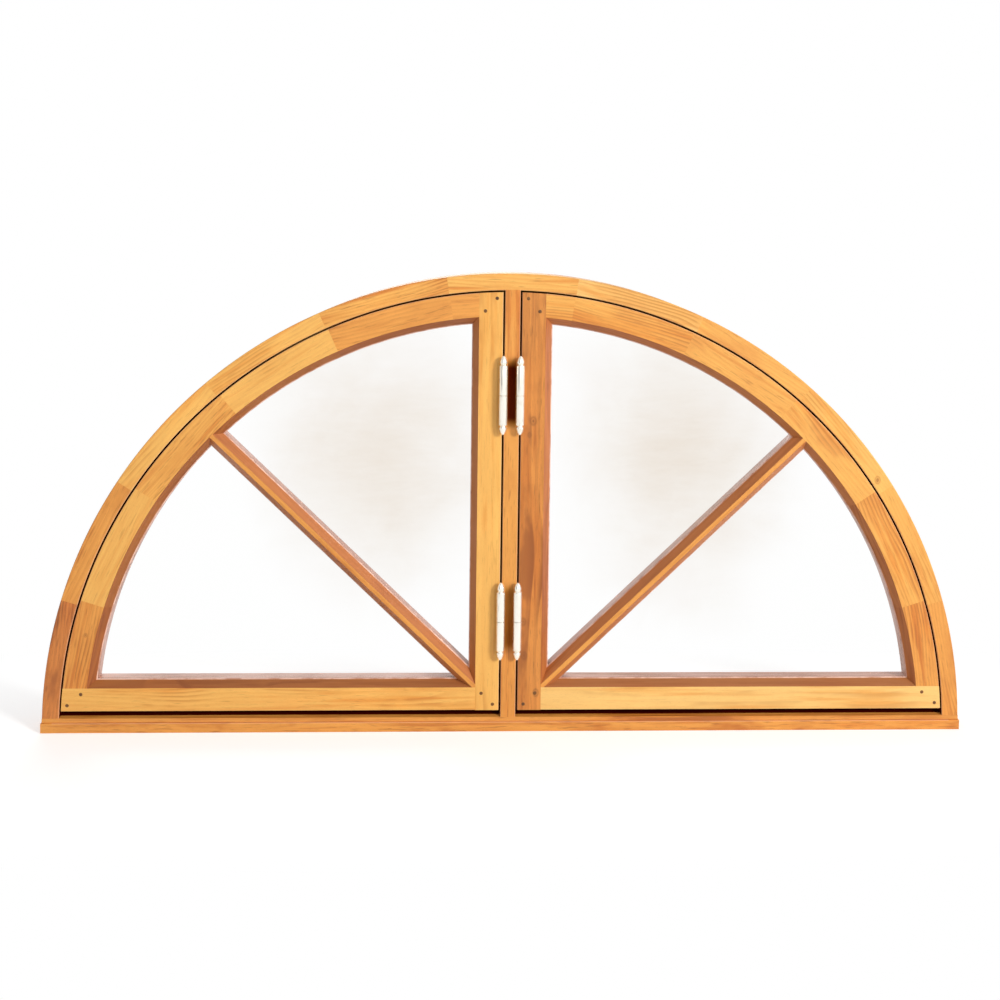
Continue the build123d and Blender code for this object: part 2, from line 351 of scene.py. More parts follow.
    def shade(self, **values: object) -> bpy.types.Material:
        """Ends the tree in a Principled shader.

        Args:
            values: Its inputs by name, with _ for each space.

        Returns:
            The material.
        """
        shader = self.node("ShaderNodeBsdfPrincipled")
        for key, value in values.items():
            self.put(shader.inputs[key.replace("_", " ")], value)
        self.tree.links.new(shader.outputs[0], self.output.inputs["Surface"])
        return self.owner


@dataclass(frozen=True)
class Knot:
    """A knot in a board, by its place on the window and its radius."""

    x: float
    z: float
    radius: float


@dataclass(frozen=True)
class Stain:
    """A patch of painted shade on a board's face: its middle, half its width and height, and its strength.
    """

    x: float
    z: float
    half_width: float
    half_height: float
    share: float


@dataclass(frozen=True)
class Board:
    """How one board was cut: its tone, the way its grain runs, and its figure.

    Attributes:
        node: The CAD node it dresses.
        tone: Its tone.
        grain: Degrees from X to the grain, turning towards Z.
        figure: How strongly growth rings and streaks show, 0 to 1.
        mottle: How strongly broad clouds of darker wood show, 0 to 1.
        heart: How far behind the face the heart of the log lies.
        seed: Picks the part of the log.
        bend: How far the rings wander.
        moulding: Tone of its moulded edge.
        darkened: Whether its edges in the gaps get painted shade.
        knots: Its knots.
        stains: Patches of painted shade on its face.
    """

    node: str
    tone: Tone
    grain: float
    figure: float = 0.5
    mottle: float = 0.5
    heart: float = 0.09
    seed: int = 1
    knots: tuple[Knot, ...] = ()
    stains: tuple[Stain, ...] = ()
    bend: float = 0.05
    moulding: Tone = Tone.MOULDING
    soiled: bool = True


@dataclass(frozen=True)
class OiledTeak:
    """Oiled teak: rings, streaks, pores, clouds and knots, dark moulding, painted shade in the gaps and by
    the hinges, and painted highlights on the arrises.

    Attributes:
        ring_width: Distance between growth rings.
        face: Depth of the front of the window.
        arris: Size of the eased edges.
        gap_radius: Boards nearer to the centre than this have their edges in a gap.
        gap_end: Depth at which the gaps end against the stops.
        lip_radius: Edges nearer to the centre than this are at the glass.
        lip_beside: Edges further than this from the middle are at the glass.
        lip_above: Edges higher than this are at the glass.
        bevel_facing: How far the bevel's normal faces back, as its Y.
        arris_facing: The same of the eased edges.
        grime: Painted shade: what the wood keeps of its colour in the gaps and in the painted shadows by the
            hinges.
        wear: Colour of the painted highlight on the arrises beside the gaps.
        wear_share: How much of the painted highlight they take on.
        lit_depth: How much deeper the light reaches on faces that look up.
        blush: What warmer patches keep of their colour.
        roughness: Middle of the range of roughness.
        cloud_scale: Clouds to a metre along, across and through the grain.
        swirl_scale: The same of the slow wander of the rings.
        streak_scale: The same of the long streaks.
        stroke_scale: The same of the short dark strokes.
        pore_scale: The same of the pores.
    """

    ring_width: float = 5.5 * MM
    face: float = -40 * MM
    arris: float = 1 * MM
    gap_radius: float = 0.746
    gap_end: float = 2 * MM
    lip_radius: float = 0.705
    lip_beside: float = 0.030
    lip_above: float = 0.045
    bevel_facing: float = -0.64
    arris_facing: float = -0.707
    grime: Colour = field(default_factory=lambda: srgb(84, 20, 8))
    wear: Colour = field(default_factory=lambda: srgb(255, 206, 170))
    wear_share: float = 0.32
    lit_depth: float = 7 * MM
    blush: Colour = (0.93, 0.76, 0.55, 1.0)
    roughness: float = 0.44
    cloud_scale: tuple[float, float, float] = (9, 26, 26)
    swirl_scale: tuple[float, float, float] = (3.2, 11, 11)
    streak_scale: tuple[float, float, float] = (5.5, 120, 120)
    stroke_scale: tuple[float, float, float] = (34, 460, 460)
    pore_scale: tuple[float, float, float] = (210, 2400, 2400)

    def material(self, board: Board) -> bpy.types.Material:
        """Makes the material of one board.

        Every pattern reads the Object coordinate turned so that its X runs along the grain, and is
        drawn out along it by its scale.

        Args:
            board: How the board was cut.

        Returns:
            The material.
        """
        graph = Graph(f"teak_{board.node}")
        whole = graph.whole()
        rng = np.random.default_rng(board.seed)
        shift = rng.uniform(-4.0, 4.0, 3)
        grain = graph.place(whole, turn=board.grain)
        cloud = graph.noise(graph.place(grain, shift=shift, scale=self.cloud_scale), 1.0, 3.0, 0.6)
        swirl = graph.noise(graph.place(grain, shift=-shift, scale=self.swirl_scale), 1.0, 2.0, 0.4)
        streak = graph.noise(graph.place(grain, shift=shift, scale=self.streak_scale), 1.0, 3.0, 0.6)
        stroke = graph.noise(graph.place(grain, shift=-shift, scale=self.stroke_scale), 1.0, 2.0)
        pore = graph.noise(graph.place(grain, shift=shift, scale=self.pore_scale), 1.0, 1.0)

        ring = self.rings(graph, grain, swirl, board, float(shift[0]))
        patch = graph.remap(graph.math("ADD", cloud, swirl), 0.98, 1.22)
        depth = graph.remap(patch, 0.0, 1.0, 0.6 * board.figure, 1.4 * board.figure)
        line = graph.math("MINIMUM", graph.times(ring, depth), 1.0)
        streaks = graph.remap(streak, 0.44, 0.72, 0.0, 0.2 + 0.9 * board.figure)
        line = graph.most(line, streaks, graph.remap(cloud, 0.48, 0.68, 0.0, board.mottle))
        colour = graph.blend(line, board.tone.pale, board.tone.deep)
        light = graph.remap(cloud, 0.30, 0.52, 1.05, 0.98)
        colour = graph.blend(1.0, colour, self.grey(graph, light), "MULTIPLY")
        blush = graph.remap(graph.math("ADD", swirl, graph.times(streak, 0.5)), 0.74, 0.94, 0.0, 0.9)
        colour = graph.blend(blush, colour, graph.blend(1.0, colour, self.blush, "MULTIPLY"))
        flame = graph.times(ring, patch, 0.25 + 0.5 * board.mottle)
        mark = graph.remap(stroke, 0.58, 0.72, 0.0, 0.10 + 0.6 * board.figure)
        pit = graph.remap(pore, 0.62, 0.74, 0.0, 0.30)
        colour = graph.blend(graph.most(mark, flame, pit), colour, self.darker(board.tone.deep))
        for knot in board.knots:
            colour = self.with_knot(graph, colour, whole, swirl, knot, board.tone)
        colour, shade_share = self.with_edges(graph, colour, whole, line, board)
        # Patches of painted shade where the hinge barrels' shadow falls.
        for shade_patch in board.stains:
            share = self.stained_share(graph, whole, shade_patch)
            colour = graph.blend(share, colour, graph.blend(1.0, colour, self.grime, "MULTIPLY"))
            shade_share = graph.most(shade_share, share)

        height = graph.math("SUBTRACT", graph.times(streak, 0.5), pit)
        return graph.shade(
            Base_Color=colour,
            Roughness=graph.remap(cloud, 0.3, 0.7, self.roughness - 0.06, self.roughness + 0.10),
            Normal=graph.bump(height, 0.18, 0.0002),
            Specular_IOR_Level=graph.remap(shade_share, 0.0, 0.6, 0.5, 0.0),
            Coat_Weight=graph.remap(shade_share, 0.0, 0.6, 0.12, 0.0),
            Coat_Roughness=0.30,
        )

    def rings(
        self, graph: Graph, grain: object, swirl: object, board: Board, start: float
    ) -> bpy.types.NodeSocket:
        """Late wood by the distance from the heart, which slow noise bends along the board.

        Args:
            graph: The material's nodes.
            grain: Coordinate with its X along the grain.
            swirl: The slow noise.
            board: How the board was cut.
            start: Picks the part of the log.

        Returns:
            Share of late wood.
        """
        _, through, over = graph.parts(grain)
        bend = graph.times(graph.math("SUBTRACT", swirl, 0.5), board.bend)
        across = graph.math("ADD", graph.math("ADD", over, start * 0.004), bend)
        behind = graph.math("SUBTRACT", board.heart, through)
        spread = graph.math("ADD", graph.math("POWER", across, 2.0), graph.math("POWER", behind, 2.0))
        turns = graph.math("DIVIDE", graph.math("SQRT", spread), self.ring_width)
        share = graph.math("FRACT", turns)
        return graph.times(graph.remap(share, 0.2, 0.85), graph.remap(share, 0.88, 1.0, 1.0, 0.0))

    def darker(self, colour: Colour) -> Colour:
        """A deeper shade of a colour."""
        return tuple(0.55 * part for part in colour[:3]) + (1.0,)

    def grey(self, graph: Graph, value: object) -> bpy.types.NodeSocket:
        """Makes a grey.

        Args:
            graph: The material's nodes.
            value: How light it is.

        Returns:
            The colour.
        """
        made = graph.node("ShaderNodeCombineColor")
        for socket in made.inputs[:3]:
            graph.put(socket, value)
        return made.outputs[0]

    def with_knot(
        self, graph: Graph, colour: object, whole: object, swirl: object, knot: Knot, tone: Tone
    ) -> bpy.types.NodeSocket:
        """Darkens the wood round a knot, with a ragged edge and rings of its own.

        Args:
            graph: The material's nodes.
            colour: Colour of the wood.
            whole: Object coordinate.
            swirl: Slow noise that frays the edge.
            knot: The knot.
            tone: The board's tone.

        Returns:
            The colour with the knot.
        """
        offset = graph.node("ShaderNodeVectorMath", operation="SUBTRACT")
        graph.put(offset.inputs[0], whole)
        graph.put(offset.inputs[1], (knot.x, self.face, knot.z))
        length = graph.length(graph.place(offset.outputs[0], scale=(1.3, 0.3, 0.9)))
        ragged = graph.times(graph.math("SUBTRACT", swirl, 0.5), knot.radius * 2.5)
        away = graph.math("ADD", length, ragged)
        ring = graph.math("SINE", graph.times(away, 2.0 * math.pi / (knot.radius * 0.5)))
        share = graph.remap(away, knot.radius * 0.2, knot.radius, 0.9, 0.0)
        share = graph.times(share, graph.remap(ring, -1.0, 1.0, 0.45, 1.0))
        return graph.blend(share, colour, self.darker(tone.deep))

    def stained_share(self, graph: Graph, whole: object, shade_patch: Stain) -> bpy.types.NodeSocket:
        """How much a soft-edged patch of painted shade shows, on the front of a board only.

        Args:
            graph: The material's nodes.
            whole: Object coordinate.
            shade_patch: The patch of painted shade.

        Returns:
            The share of painted shade.
        """
        across, depth, up = graph.parts(graph.place(whole, shift=(-shade_patch.x, 0.0, -shade_patch.z)))
        share = graph.remap(depth, self.face + 2 * MM, self.face + MM, 0.0, shade_patch.share)
        for part, half, soft in ((across, shade_patch.half_width, 1.5 * MM), (up, shade_patch.half_height, 12 * MM)):
            inside = graph.remap(graph.math("ABSOLUTE", part), half + soft, half - soft)
            share = graph.times(inside, share)
        return share

    def with_edges(
        self, graph: Graph, colour: object, whole: object, line: object, board: Board
    ) -> tuple[bpy.types.NodeSocket, object]:
        """Redder wood on the moulding, painted shade in the gaps, and painted highlights on the arrises
        beside them.

        Args:
            graph: The material's nodes.
            colour: Colour of the face.
            whole: Object coordinate.
            line: Share of late wood.
            board: How the board was cut.

        Returns:
            The finished colour, and the share of painted shade.
        """
        across, depth, height = graph.parts(whole)
        _, toward, upward = graph.parts(graph.node("ShaderNodeNewGeometry").outputs["True Normal"])
        off = graph.math("ABSOLUTE", graph.math("SUBTRACT", toward, self.bevel_facing))
        bevel = graph.remap(off, 0.05, 0.03)
        moulding = graph.blend(line, board.moulding.pale, board.moulding.deep)
        colour = graph.blend(graph.times(bevel, 0.9), colour, moulding)
        if not board.soiled:
            return colour, 0.0

        # Painted shade: the wood in the gaps darkens from just behind the face, a little deeper on faces
        # that look up, and on faces at the back of the gaps, short of the stops.
        square = graph.remap(graph.math("ABSOLUTE", toward), 0.45, 0.25)
        radius = graph.length(graph.place(whole, scale=(1, 0, 1)))
        outer = graph.most(
            graph.remap(radius, self.lip_radius, self.lip_radius + MM),
            graph.remap(graph.math("ABSOLUTE", across), self.lip_beside, self.lip_beside - MM),
            graph.remap(height, self.lip_above, self.lip_above - MM),
        )
        inside = graph.times(graph.remap(radius, self.gap_radius, self.gap_radius - MM), outer)
        lit = graph.times(graph.remap(upward, 0.8, 0.95), self.lit_depth)
        sunk = graph.math("SUBTRACT", depth, lit)
        dark = graph.remap(sunk, self.face + self.arris, self.face + 2.5 * self.arris)
        sunken = graph.remap(depth, self.face + 4 * MM, self.face + 6 * MM)
        behind = graph.times(graph.remap(toward, -0.8, -0.95), sunken)
        before_stops = graph.remap(depth, self.gap_end + MM, self.gap_end - MM)
        shade_share = graph.times(graph.most(graph.times(square, dark), behind), inside, before_stops)
        colour = graph.blend(shade_share, colour, graph.blend(1.0, colour, self.grime, "MULTIPLY"))

        # Painted highlight: a pale line on the eased arrises beside the gaps.
        off = graph.math("ABSOLUTE", graph.math("SUBTRACT", toward, self.arris_facing))
        on_face = graph.remap(depth, self.face + 2 * MM, self.face + MM)
        layer_share = graph.times(graph.remap(off, 0.03, 0.01), on_face, inside, self.wear_share)
        return graph.blend(layer_share, colour, self.wear), shade_share


@dataclass(frozen=True)
class ClearGlass:
    """Clear float glass with a faint warm haze in a soft patch on each pane.

    Attributes:
        clear: Tint of clean glass.
        hazed: Tint in the middle of the haze.
        haze_height: Height of the haze's middle.
        haze_left: X of its middle on the left sash.
        haze_right: X of its middle on the right sash.
        haze_reach: Its radius.
    """

    clear: Colour = (0.997, 0.998, 0.997, 1.0)
    hazed: Colour = (0.84, 0.765, 0.68, 1.0)
    haze_height: float = 0.46
    haze_left: float = -0.215
    haze_right: float = 0.285
    haze_reach: float = 0.26

    def material(self, side: Side) -> bpy.types.Material:
        """Makes the glass of one sash. It lets shadow and diffuse rays straight through.

        Args:
            side: Which sash.

        Returns:
            The material.
        """
        graph = Graph(f"glass_{side.word}")
        whole = graph.whole()
        middle = self.haze_left if side is Side.LEFT else self.haze_right
        centre = (-middle, 0.0, -0.8 * self.haze_height)
        away = graph.length(graph.place(whole, shift=centre, scale=(1, 0, 0.8)))
        broad = graph.noise(whole, 7.0, 3.0, 0.5, 0.4)
        smear = graph.noise(graph.place(whole, turn=35.0, scale=(14, 1, 60)), 1.0, 4.0, 0.65)
        ragged = graph.math("ADD", away, graph.times(broad, 0.16))
        haze = graph.remap(ragged, self.haze_reach + 0.08, 0.06)
        haze = graph.times(haze, graph.remap(smear, 0.25, 0.75, 0.85, 1.0))
        glass = graph.node("ShaderNodeBsdfPrincipled")
        graph.put(glass.inputs["Base Color"], graph.blend(haze, self.clear, self.hazed))
        graph.put(glass.inputs["Roughness"], graph.remap(smear, 0.5, 0.8, 0.0, 0.012))
        graph.put(glass.inputs["IOR"], 1.45)
        graph.put(glass.inputs["Transmission Weight"], 1.0)
        clear = graph.node("ShaderNodeBsdfTransparent")
        ray = graph.node("ShaderNodeLightPath")
        both = graph.most(ray.outputs["Is Shadow Ray"], ray.outputs["Is Diffuse Ray"])
        graph.put(graph.output.inputs["Surface"], graph.mix(both, glass.outputs[0], clear.outputs[0]))
        return graph.owner


@dataclass(frozen=True)
class BrightNickel:
    """Polished nickel plate with faint lathe lines, clouded where it has been handled."""

    bright: Colour = field(default_factory=lambda: srgb(254, 250, 238))
    dull: Colour = field(default_factory=lambda: srgb(236, 228, 210))
    tarnish: Colour = field(default_factory=lambda: srgb(120, 112, 96))

    def material(self, name: str) -> bpy.types.Material:
        """Makes the material.

        Args:
            name: The material's name.

        Returns:
            The material.
        """
        graph = Graph(name)
        whole = graph.whole()
        cloud = graph.noise(whole, scale=90.0, detail=2.0, roughness=0.5)
        lathe = graph.noise(graph.place(whole, scale=(60, 60, 5200)), detail=2.0)
        layer_share = graph.remap(cloud, 0.50, 0.75, 0.0, 0.5)
        scratch = graph.noise(graph.place(whole, scale=(420, 420, 60)), detail=2.0)
        plate = graph.blend(layer_share, self.bright, self.dull)
        return graph.shade(
            Base_Color=graph.blend(graph.remap(scratch, 0.66, 0.76, 0.0, 0.5), plate, self.tarnish),
            Metallic=0.72,
            Roughness=graph.remap(cloud, 0.3, 0.75, 0.12, 0.20),
            Normal=graph.bump(lathe, 0.02, 0.00001),
        )


@dataclass(frozen=True)
class Sealant:
    """Pale sealant that has taken up some colour from the timber."""

    fresh: Colour = field(default_factory=lambda: srgb(236, 196, 178))
    soiled: Colour = field(default_factory=lambda: srgb(196, 140, 116))

    def material(self, name: str) -> bpy.types.Material:
        """Makes the material.

        Args:
            name: The material's name.

        Returns:
            The material.
        """
        graph = Graph(name)
        whole = graph.whole()
        cloud = graph.noise(whole, scale=38.0, detail=4.0, roughness=0.6)
        ripple = graph.noise(whole, scale=420.0, detail=2.0)
        return graph.shade(
            Base_Color=graph.blend(graph.remap(cloud, 0.4, 0.68), self.fresh, self.soiled),
            Roughness=graph.remap(ripple, 0.3, 0.7, 0.35, 0.55),
            Normal=graph.bump(ripple, 0.25, 0.0003),
        )


def flowing_line(knots: np.ndarray, per_span: int) -> np.ndarray:
    """A smooth line through points, each span a cubic whose ends lean as the neighbours do.

    Args:
        knots: Points to pass through, one a row.
        per_span: Points made for each span.

    Returns:
        The points of the line.
    """
    before = np.vstack([2 * knots[0] - knots[1], knots[:-1]])[:-1]
    after = np.vstack([knots[1:], 2 * knots[-1] - knots[-2]])[1:]
    start, stop = knots[:-1], knots[1:]
    t = np.linspace(0.0, 1.0, per_span, endpoint=False)[None, :, None]
    spans = 0.5 * (
        2 * start[:, None]
        + (stop - before)[:, None] * t
        + (2 * before - 5 * start + 4 * stop - after)[:, None] * t**2
        + (3 * start - before - 3 * stop + after)[:, None] * t**3
    )
    return np.vstack([spans.reshape(-1, knots.shape[1]), knots[-1:]])


def outward(points: np.ndarray, faces: list[np.ndarray]) -> list[np.ndarray]:
    """Turns all faces round if the closed surface they make has a negative volume.

    Args:
        points: The points.
        faces: Arrays of faces with the same number of corners.

    Returns:
        The faces, seen from outside.
    """
    volume = 0.0
    for face in faces:
        fans = [face[:, [0, i, i + 1]] for i in range(1, face.shape[1] - 1)]
        corners = points[np.vstack(fans)]
        volume += np.einsum("ij,ij->i", corners[:, 0], np.cross(corners[:, 1], corners[:, 2])).sum()
    return faces if volume > 0 else [face[:, ::-1] for face in faces]


@dataclass
class Surface:
    """Closed surface in progress: points, and faces as arrays of the same number of corners."""

    points: list[np.ndarray] = field(default_factory=list)
    faces: list[np.ndarray] = field(default_factory=list)
    count: int = 0

    def add(self, points: np.ndarray, faces: list[np.ndarray]) -> None:
        """Adds one closed shell, with its faces turned outwards.

        Args:
            points: The points.
            faces: Arrays of faces with the same number of corners.
        """
        self.faces += [face + self.count for face in outward(points, faces)]
        self.points.append(points)
        self.count += len(points)

    def piece(self, name: str, material: bpy.types.Material) -> bpy.types.Object:
        """Makes the object, dresses it and sets it riding on the window.

        Args:
            name: The piece's name.
            material: Its finish.

        Returns:
            The object, smooth over gentle turns and sharp at edges.
        """
        mesh = bpy.data.meshes.new(name)
        rows = [row for face in self.faces for row in face.tolist()]
        mesh.from_pydata(np.vstack(self.points).tolist(), [], rows)
        mesh.materials.append(material)
        made = bpy.data.objects.new(name, mesh)
        bpy.context.scene.collection.objects.link(made)
        mesh.shade_smooth()
        mesh.set_sharp_from_angle(angle=math.radians(SHARP_DEGREES))
        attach(made, "root")
        log.info("%s: %d faces", name, len(rows))
        return made


def loop_shell(rings: np.ndarray) -> tuple[np.ndarray, list[np.ndarray]]:
    """Skin over closed rings, each ring joined to the next and the last to the first.

    Args:
        rings: Points by ring and by place along it, so the surface is a torus in two parameters.

    Returns:
        The points, and the faces as one array of quads.
    """
    count, size, _ = rings.shape
    index = np.arange(count * size).reshape(count, size)
    here, there = index, np.roll(index, -1, axis=0)
    quads = np.stack([here, np.roll(here, -1, axis=1), np.roll(there, -1, axis=1), there], axis=-1)
    return rings.reshape(-1, 3), [quads.reshape(-1, 4)]


def turned(
    profile: np.ndarray, centre: Sequence[float], axis: Sequence[float], across: Sequence[float],
    sides: int = 48,
) -> tuple[np.ndarray, list[np.ndarray]]:
    """A profile turned about an axis: point = centre + s axis + r (cos a across + sin a third).

    Args:
        profile: Rows of radius r and distance s along the axis, from pole to pole.
        centre: Where s is zero.
        axis: Direction of the axis.
        across: Direction of angle zero, square to the axis.
        sides: Steps round the axis.

    Returns:
        The points, and the faces as quads and the triangles at the poles.
    """
    axis, across = np.array(axis, float), np.array(across, float)
    third = np.cross(axis, across)
    angle = np.linspace(0.0, 2 * math.pi, sides, endpoint=False)
    spoke = np.cos(angle)[:, None] * across + np.sin(angle)[:, None] * third
    inner = profile[1:-1]
    rings = np.array(centre) + inner[:, 1, None, None] * axis + inner[:, 0, None, None] * spoke[None]
    poles = np.array(centre) + profile[[0, -1], 1, None] * axis
    points = np.vstack([rings.reshape(-1, 3), poles])
    index = np.arange(len(inner) * sides).reshape(len(inner), sides)
    turn = np.roll(index, -1, axis=1)
    quads = np.stack([index[:-1], turn[:-1], turn[1:], index[1:]], axis=-1).reshape(-1, 4)
    first = np.stack([turn[0], index[0], np.full(sides, len(points) - 2)], axis=-1)
    last = np.stack([index[-1], turn[-1], np.full(sides, len(points) - 1)], axis=-1)
    return points, [quads, np.vstack([first, last])]


@dataclass
class PaneOutline:
    """Outline of one pane in the right sash, let in or drawn back from the sight line.

    Attributes:
        stile_sight: X of the stile's sight line.
        rail_sight: Z of the bottom rail's sight line.
        arch_sight: Radius of the arch's sight line.
        inner: X and Z of the point that the bar's middle line starts from.
        bar_half: Half the width of the bar.
        bar_angle: The bar's rise, in degrees.
        upper: Whether it is the pane above the bar.
    """

    stile_sight: float
    rail_sight: float
    arch_sight: float
    inner: tuple[float, float]
    bar_half: float
    bar_angle: float
    upper: bool

    def loop(self, cover: float, straight: int = 24, round_steps: int = 96) -> np.ndarray:
        """Closed line of X and Z at one distance outside the sight line.

        The corners are where the moved edges cross: line with line, and line with circle. The arch
        runs between its two corners by equal angles.

        Args:
            cover: Distance outside the sight line, negative inside.
            straight: Steps along each straight edge.
            round_steps: Steps along the arch.

        Returns:
            The points, the same number at every distance.
        """
        rise = math.radians(self.bar_angle)
        along = np.array([math.cos(rise), math.sin(rise)])
        up = np.array([-along[1], along[0]])
        way = 1.0 if self.upper else -1.0
        start = np.array(self.inner) + up * way * (self.bar_half - cover)
        radius = self.arch_sight + cover
        if self.upper:
            edge = self.stile_sight - cover
            corner = start + along * (edge - start[0]) / along[0]
            arch = np.array([edge, math.sqrt(radius**2 - edge**2)])
        else:
            edge = self.rail_sight - cover
            corner = start + along * (edge - start[1]) / along[1]
            arch = np.array([math.sqrt(radius**2 - edge**2), edge])
        toward = float(start @ along)
        tip = start + along * (math.sqrt(toward**2 + radius**2 - float(start @ start)) - toward)
        share = np.linspace(0.0, 1.0, straight, endpoint=False)[:, None]
        angles = np.linspace(
            math.atan2(arch[1], arch[0]), math.atan2(tip[1], tip[0]), round_steps, endpoint=False
        )
        curve = radius * np.column_stack([np.cos(angles), np.sin(angles)])
        return np.vstack([tip + (corner - tip) * share, corner + (arch - corner) * share, curve])


@dataclass
class Sash:
    """One quarter-round sash: boards, panes, beads, seal, pegs and pins.

    Attributes:
        side: Which half of the window it fills.
        face: Depth of its face.
        glass_front: Depth of the front of the glass.
        bead_back: Depth of the back of the beads.
        bead_width: Width of the beads.
        bevel: Width of the bevel round the glass.
        bar_flat: Width of the flat front of the glazing bar.
        bar_angle: Rise of the bar in degrees.
        peg_radius: Radius of a peg.
        peg_inset: Pegs' distance from the corners of their joints.
        pin_step: Distance between the pins of a bead.
    """

    side: Side
    face: float = -40 * MM
    glass_front: float = -26 * MM
    bead_back: float = 2 * MM
    bead_width: float = 8 * MM
    bevel: float = 10 * MM
    bar_flat: float = 7 * MM
    bar_angle: float = 44.0
    peg_radius: float = 2.85 * MM
    peg_inset: float = 10 * MM
    pin_step: float = 0.12

    def node(self, part: str) -> str:
        """Name of one of the sash's CAD nodes."""
        return f"{self.side.word}_sash_{part}"

    def box(self, part: str) -> tuple[Vector, Vector]:
        """Corners of the same node of the right sash."""
        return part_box(f"right_sash_{part}")

    def mirrored(self, flat: np.ndarray) -> np.ndarray:
        """X and Z of the right sash moved to this side."""
        return flat * np.array([self.side.value, 1.0])

    def panes(self) -> list[PaneOutline]:
        """Both panes of the right sash, from the sizes of its stile, rail and arch.

        Returns:
            The upper and the lower pane.
        """
        stile_sight = self.box("stile")[1].x
        rail_sight = self.box("bottom_rail")[1].z
        arch_sight = self.arch_edge() - self.bevel
        inner = (stile_sight - self.bevel, rail_sight - self.bevel)
        half = self.bar_flat / 2 + self.bevel
        return [
            PaneOutline(stile_sight, rail_sight, arch_sight, inner, half, self.bar_angle, upper)
            for upper in (True, False)
        ]

    def arch_edge(self) -> float:
        """Radius at which the arch's flat face ends, from the sash's outside and its face width."""
        return self.outside_radius() - self.arch_face()

    def outside_radius(self) -> float:
        """Outside radius of the sash, from the far corner of its bottom rail."""
        low, high = self.box("bottom_rail")
        return math.hypot(high.x, low.z)

    def arch_face(self) -> float:
        """Width of the arch's flat face, which is the stile's."""
        low, high = self.box("stile")
        return high.x - low.x - self.bevel

    def dress(self, boards: Sequence[Board], teak: OiledTeak, beads: Board) -> None:
        """Gives the CAD nodes their finishes and adds the small pieces.

        Args:
            boards: The boards of the sash.
            teak: Their finish.
            beads: How the beads were cut.
        """
        for board in boards:
            paint(board.node, teak.material(board))
        glass = ClearGlass().material(self.side)
        for part in ("upper_pane", "lower_pane"):
            paint(self.node(part), glass)
        self.dress_beads(beads, teak)
        self.make_seal()
        self.make_pegs(teak)
        self.make_pins()

    def dress_beads(self, beads: Board, teak: OiledTeak) -> None:
        """Pale timber on the beads, its tone partly painted light from the bright backdrop behind the glass,
        with its grain along each.

        Args:
            beads: How the beads were cut.
            teak: Their finish.
        """
        turns = {"straight_beads": 0.0, "bar_beads": self.bar_angle, "arch_beads": 135.0}
        for order, (part, turn) in enumerate(turns.items()):
            grain = turn if self.side is Side.RIGHT else 180.0 - turn
            board = Board(
                self.node(part), beads.tone, grain, beads.figure, beads.mottle, seed=beads.seed + order,
                soiled=False,
            )
            paint(board.node, teak.material(board))

    def make_seal(self) -> None:
        """Fillet of sealant in the corner of lip and glass: a hollow profile carried round each pane."""
        leg, proud = 1.6 * MM, 0.2 * MM
        profile = np.array([
            [proud, 0.0],
            [proud, leg],
            [-0.35 * leg, 0.55 * leg],
            [-0.75 * leg, 0.22 * leg],
            [-leg, 0.0],
            [-leg, -0.05 * MM],
            [proud, -0.05 * MM],
        ])
        surface = Surface()
        for pane in self.panes():
            rings = []
            for cover, rise in profile:
                flat = self.mirrored(pane.loop(cover))
                depth = np.full(len(flat), self.glass_front - rise)
                rings.append(np.column_stack([flat[:, 0], depth, flat[:, 1]]))
            surface.add(*loop_shell(np.array(rings)))
        sealant = Sealant().material(f"seal_{self.side.word}")
        surface.piece(self.node("glazing_seal"), sealant)

    def peg_places(self) -> np.ndarray:
        """Places of the six pegs of the right sash, two across each tenoned corner.

        Returns:
            X and Z, one peg a row.
        """
        stile_low, stile_high = self.box("stile")
        rail_low, rail_high = self.box("bottom_rail")
        side, foot = stile_low.x, rail_low.z
        stile_edge, rail_edge = stile_high.x - self.bevel, rail_high.z - self.bevel
        outside, inside = self.outside_radius(), self.arch_edge()
        step = self.peg_inset
        return np.array([
            [side + step, foot + step],
            [stile_edge - step, rail_edge - step],
            [side + step, math.sqrt(outside**2 - side**2) - step],
            [stile_edge - step, math.sqrt(inside**2 - stile_edge**2) + step],
            [math.sqrt(outside**2 - foot**2) - step, foot + step],
            [math.sqrt(inside**2 - rail_edge**2) + step, rail_edge - step],
        ])

    def make_pegs(self, teak: OiledTeak) -> None:
        """Round pegs with crowned ends: the end is a shallow dome with a rounded rim.

        Args:
            teak: Their finish.
        """
        r, proud, depth = self.peg_radius, 0.35 * MM, 32 * MM
        turn = np.linspace(0.0, math.pi / 2, 9)
        crown = np.column_stack([r * np.sin(turn), -proud * np.cos(turn) ** 1.2])
        profile = np.vstack([[[0.0, depth], [r, depth]], crown[::-1]])
        surface = Surface()
        for x, z in self.mirrored(self.peg_places()):
            surface.add(*turned(profile, (x, self.face, z), (0, 1, 0), (1, 0, 0), 32))
        seed = 40 + self.side.value
        board = Board(self.node("pegs"), Tone.UMBER, 0.0, 0.4, 0.7, seed=seed, soiled=False)
        pegs = surface.piece(self.node("peg_ends"), teak.material(board))
        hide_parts(self.node("pegs"))

